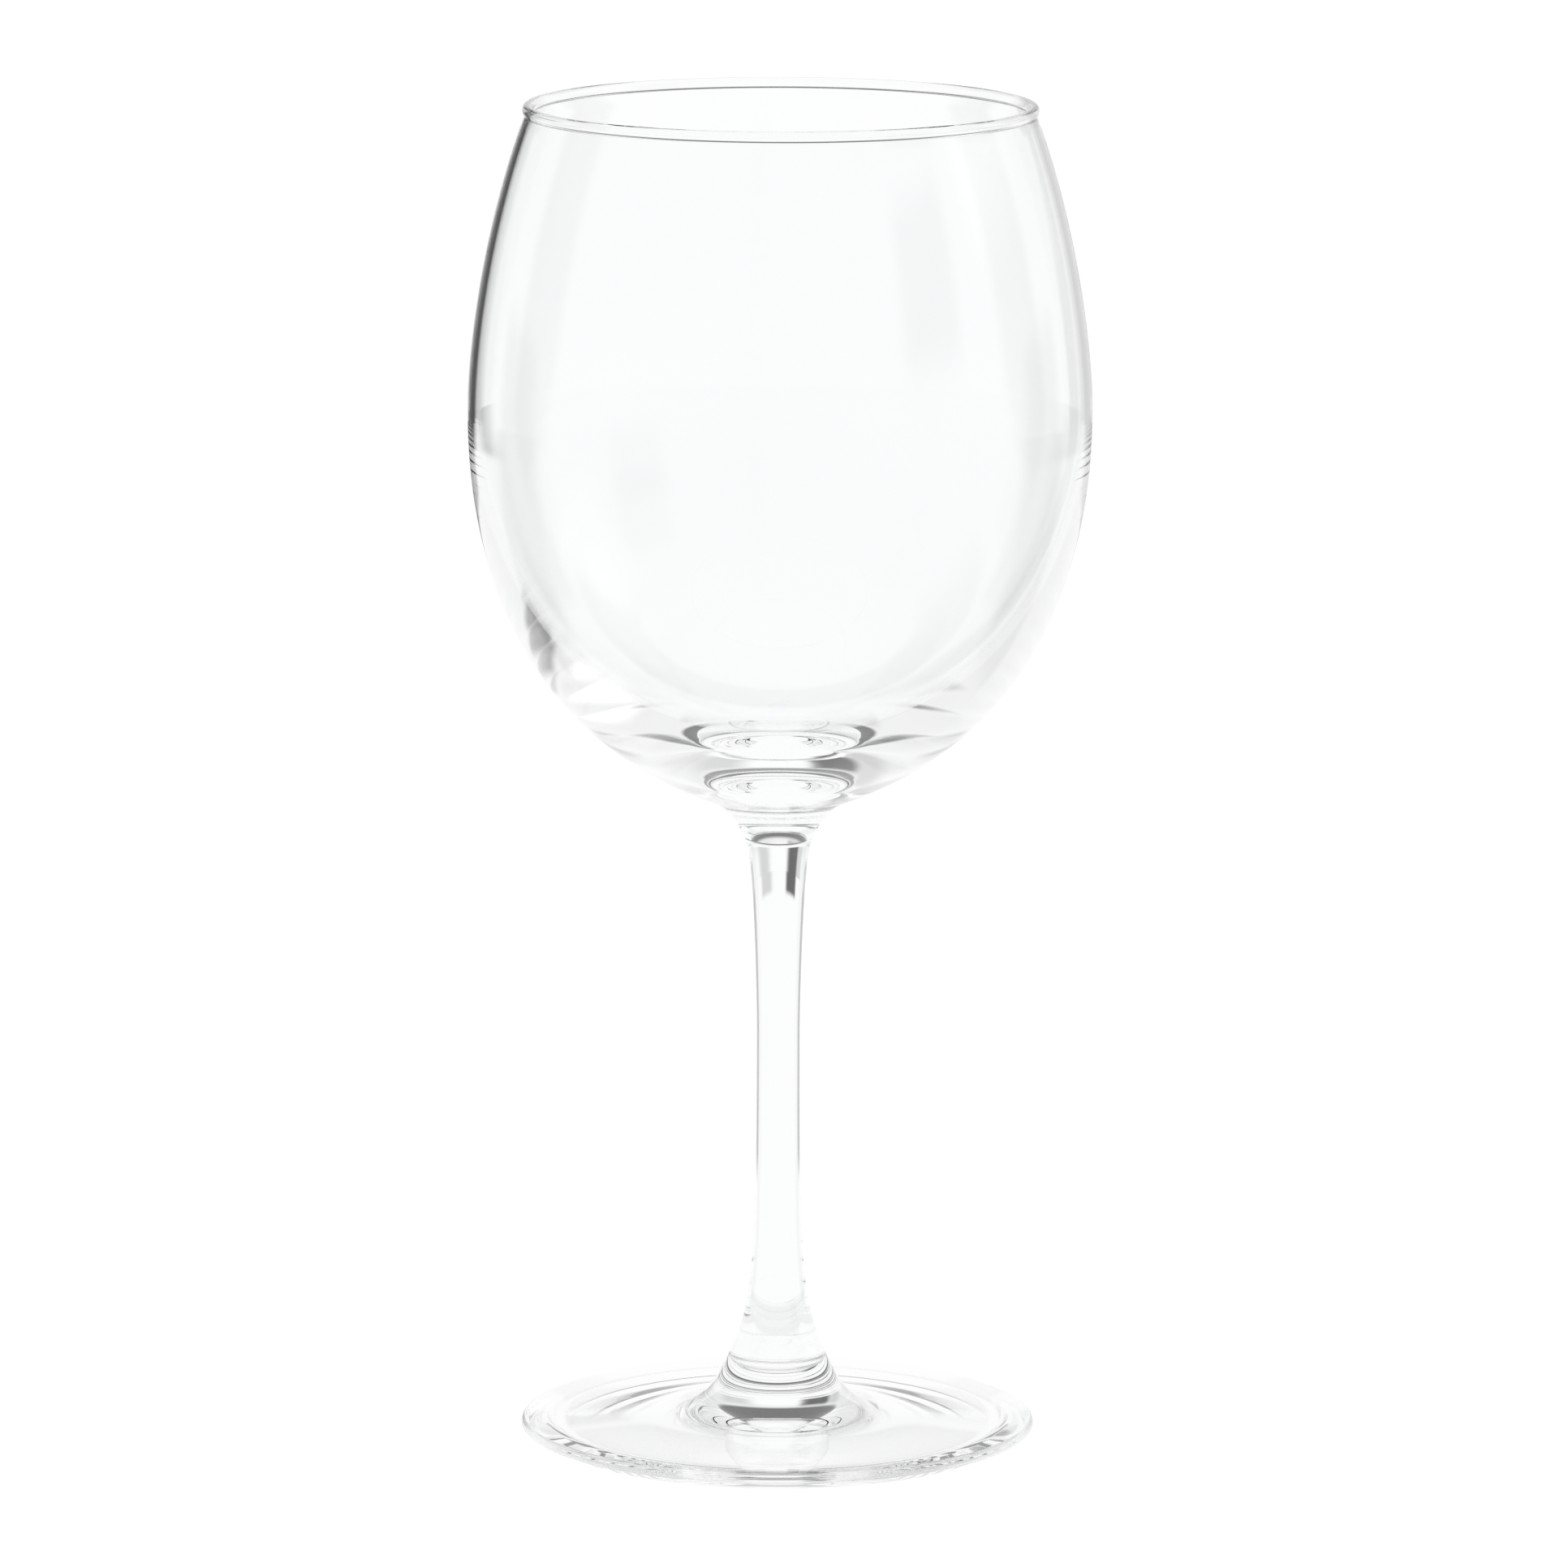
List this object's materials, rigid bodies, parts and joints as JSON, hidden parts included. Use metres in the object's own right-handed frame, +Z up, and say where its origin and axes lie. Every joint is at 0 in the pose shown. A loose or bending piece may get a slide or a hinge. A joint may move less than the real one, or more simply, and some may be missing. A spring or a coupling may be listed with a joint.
{
  "type": "wine glass",
  "caption": "Clear stemmed wine glass with a wide, rounded cup, rolled rim, thin drawn stem and round flat foot; holds wine or another drink",
  "frame": {"origin": "on the table, under the centre of the foot", "axes": "+Z up along the axis of the glass; the glass is round, so X and Y are interchangeable"},
  "size_m": [0.1014, 0.1014, 0.22],
  "materials": {
    "clear_glass": "fire-polished clear glass, smooth and glossy"
  },
  "bodies": {
    "root": {"foot": "clear_glass", "stem": "clear_glass", "bowl": "clear_glass"}
  },
  "joints": []
}
